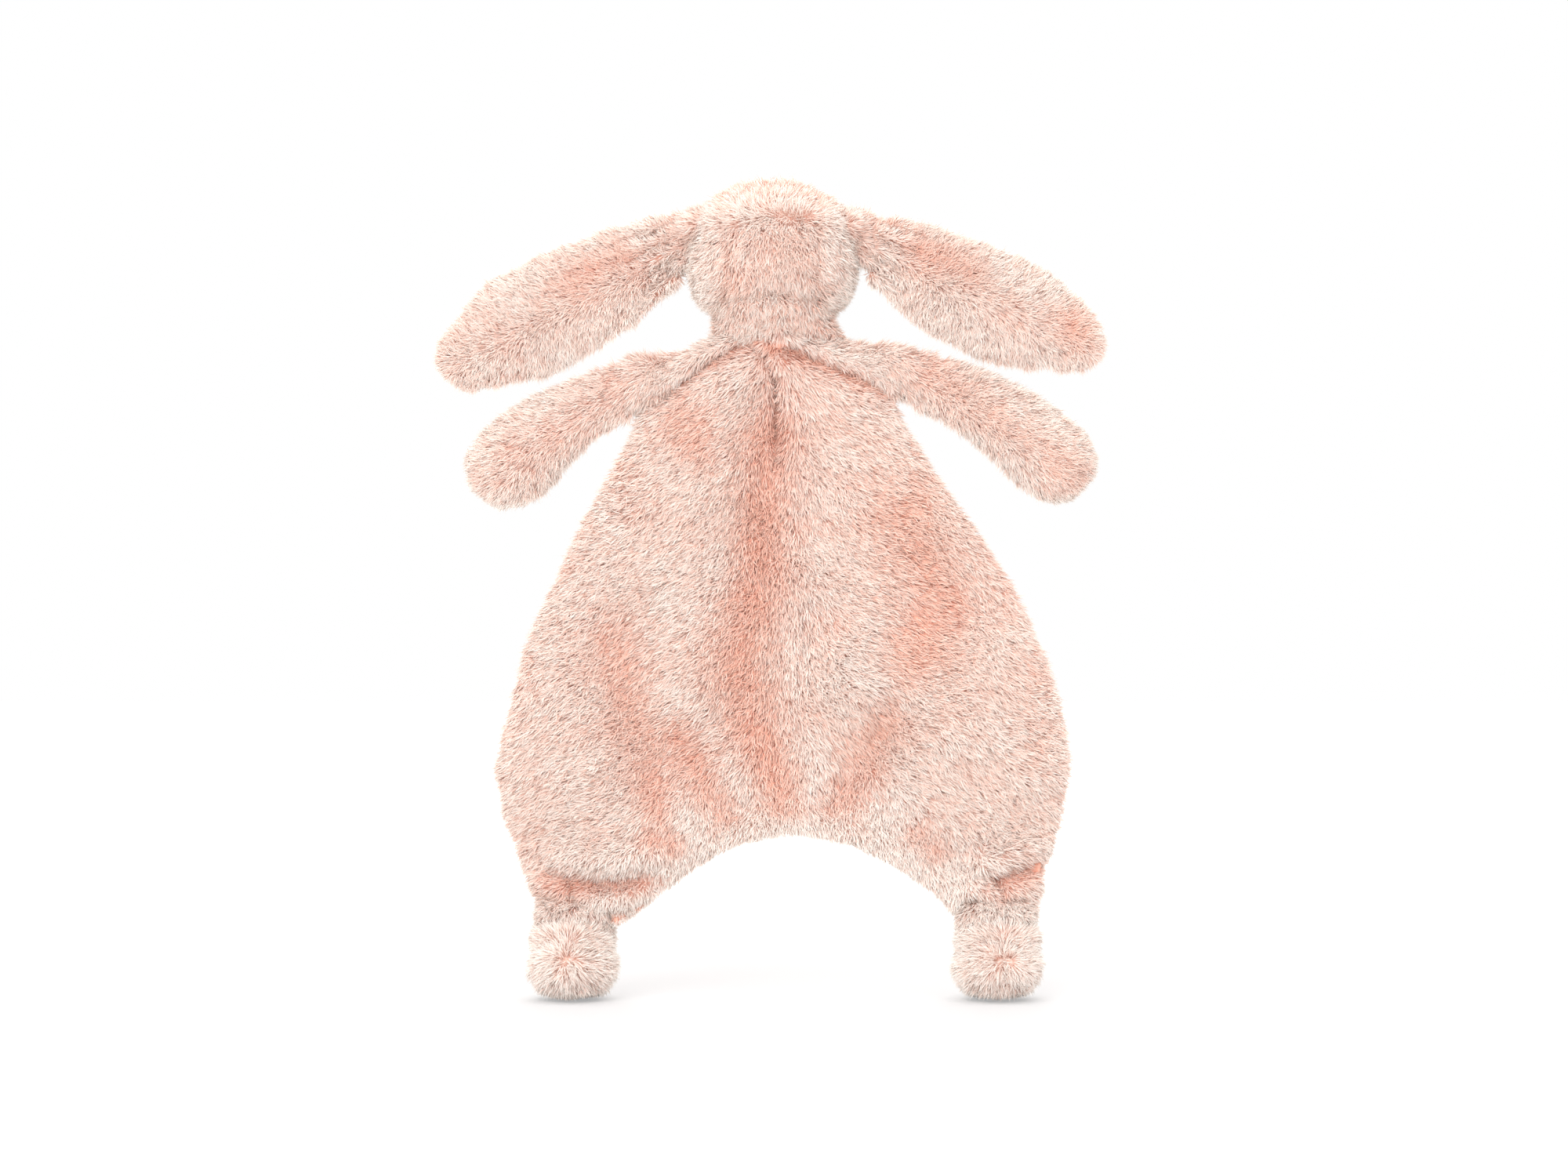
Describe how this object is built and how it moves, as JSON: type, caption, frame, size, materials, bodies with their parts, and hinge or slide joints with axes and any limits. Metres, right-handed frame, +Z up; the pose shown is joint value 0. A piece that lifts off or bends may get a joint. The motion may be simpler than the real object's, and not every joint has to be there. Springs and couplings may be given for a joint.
{
  "type": "comfort blanket lovey",
  "caption": "Plush bunny comfort blanket with a flat two-layer body, stuffed head, long ears, arms and gathered feet that swing on their sewn seams.",
  "frame": {"origin": "on the floor, under the middle of the outer box of the standing toy", "axes": "+Z up, -Y the way the toy faces, +X the toy's own left"},
  "size_m": [0.2792, 0.0675, 0.34],
  "materials": {
    "plush_blush": "long soft pile, blush pink with cream tips",
    "plush_front": "long soft pile, blush pink with cream tips",
    "plush_lining": "short soft pile, pale blush",
    "wadding": "polyester fibre filling",
    "sewing_thread": "polyester sewing thread",
    "eye_thread": "satin stitch",
    "nose_thread": "satin stitch"
  },
  "bodies": {
    "root": {"back_left_panel": "plush_blush", "back_right_panel": "plush_blush", "front_left_panel": "plush_front", "front_right_panel": "plush_front", "shoulder_cover": "plush_blush", "shoulder_filling": "wadding", "ankle_thread_left": "sewing_thread", "ankle_thread_right": "sewing_thread"},
    "neck": {"neck_filling": "wadding", "neck_thread": "sewing_thread"},
    "head": {"head_back_panel": "plush_blush", "head_left_panel": "plush_blush", "head_right_panel": "plush_blush", "face_panel": "plush_front", "head_filling": "wadding", "eye_left": "eye_thread", "eye_right": "eye_thread", "nose": "nose_thread", "mouth_stitch": "nose_thread"},
    "ear_left": {"ear_left_outer": "plush_blush", "ear_left_lining": "plush_lining"},
    "ear_right": {"ear_right_outer": "plush_blush", "ear_right_lining": "plush_lining"},
    "arm_left": {"arm_left_back_cover": "plush_blush", "arm_left_front_cover": "plush_front", "arm_left_filling": "wadding"},
    "arm_right": {"arm_right_back_cover": "plush_blush", "arm_right_front_cover": "plush_front", "arm_right_filling": "wadding"},
    "foot_left": {"foot_left_cover": "plush_blush", "foot_left_filling": "wadding"},
    "foot_right": {"foot_right_cover": "plush_blush", "foot_right_filling": "wadding"}
  },
  "joints": [
    {"name": "head_turn", "type": "hinge", "parent": "root", "child": "neck", "pos_m": [0, 0, 0.279], "axis": [0, 0, 1], "range_deg": [-60, 60], "stiffness_Nm_per_rad": 0.03},
    {"name": "head_nod", "type": "hinge", "parent": "neck", "child": "head", "pos_m": [0, 0, 0.279], "axis": [-1, 0, 0], "range_deg": [-20, 20], "stiffness_Nm_per_rad": 0.08},
    {"name": "ear_left_swing", "type": "hinge", "parent": "head", "child": "ear_left", "pos_m": [0.0369, 0, 0.311], "axis": [0, 0, -1], "range_deg": [-50, 50], "stiffness_Nm_per_rad": 0.004},
    {"name": "ear_right_swing", "type": "hinge", "parent": "head", "child": "ear_right", "pos_m": [-0.0369, 0, 0.3125], "axis": [0, 0, 1], "range_deg": [-50, 50], "stiffness_Nm_per_rad": 0.004},
    {"name": "arm_left_swing", "type": "hinge", "parent": "root", "child": "arm_left", "pos_m": [0.0547, 0, 0.2542], "axis": [0.299, 0, 0.9542], "range_deg": [-50, 50], "stiffness_Nm_per_rad": 0.008},
    {"name": "arm_right_swing", "type": "hinge", "parent": "root", "child": "arm_right", "pos_m": [-0.0525, 0, 0.2597], "axis": [0.2588, 0, -0.9659], "range_deg": [-50, 50], "stiffness_Nm_per_rad": 0.008},
    {"name": "foot_left_tilt", "type": "hinge", "parent": "root", "child": "foot_left", "pos_m": [0.0824, 0, 0.03], "axis": [1, 0, 0], "range_deg": [-25, 25], "stiffness_Nm_per_rad": 0.5},
    {"name": "foot_right_tilt", "type": "hinge", "parent": "root", "child": "foot_right", "pos_m": [-0.0931, 0, 0.03], "axis": [1, 0, 0], "range_deg": [-25, 25], "stiffness_Nm_per_rad": 0.5}
  ]
}
